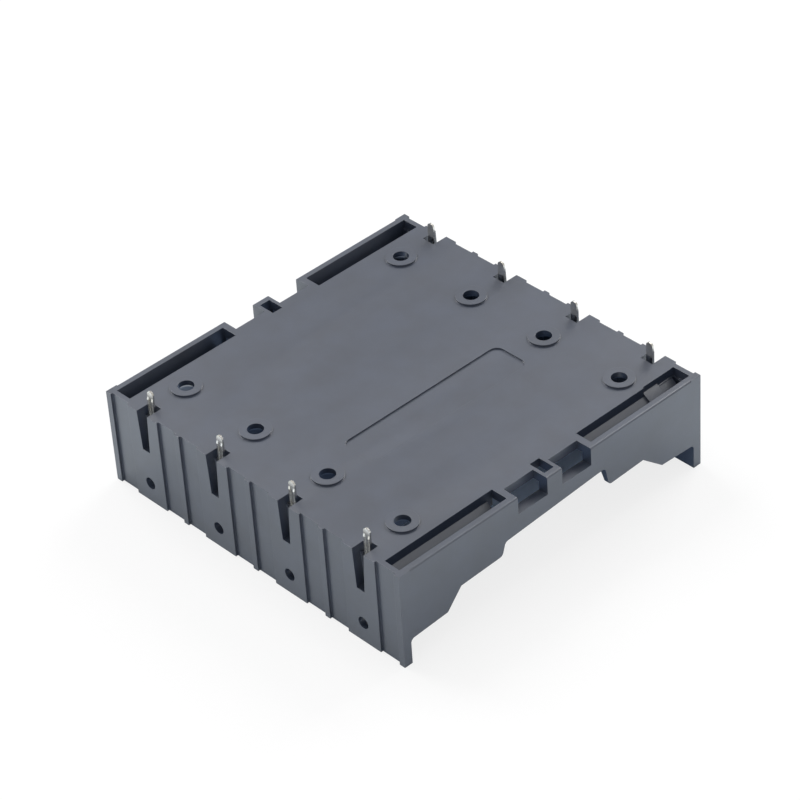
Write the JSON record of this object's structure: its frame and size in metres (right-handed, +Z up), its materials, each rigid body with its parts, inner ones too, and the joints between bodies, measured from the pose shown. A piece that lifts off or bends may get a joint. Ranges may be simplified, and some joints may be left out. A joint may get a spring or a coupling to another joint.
{
  "type": "cylindrical cell holder",
  "caption": "Black moulded board-mount holder for side-by-side cylindrical cells, with sprung end contacts, solder pins, screw bosses and cut-back side walls.",
  "frame": {"origin": "middle of the rim plane that the holder lies on, which is the open side for the cells", "axes": "+X along the cells, from the front contacts to the rear ones; +Y across the bays; +Z up through the base plate, the way the solder pins point"},
  "size_m": [0.0776, 0.079, 0.0248],
  "materials": {
    "black_plastic": "fine satin texture",
    "plated_spring_steel": "bright nickel plate"
  },
  "bodies": {
    "root": {"holder_body": "black_plastic", "front_contact_1": "plated_spring_steel", "front_contact_2": "plated_spring_steel", "front_contact_3": "plated_spring_steel", "front_contact_4": "plated_spring_steel", "rear_contact_1": "plated_spring_steel", "rear_contact_2": "plated_spring_steel", "rear_contact_3": "plated_spring_steel", "rear_contact_4": "plated_spring_steel"}
  },
  "joints": []
}
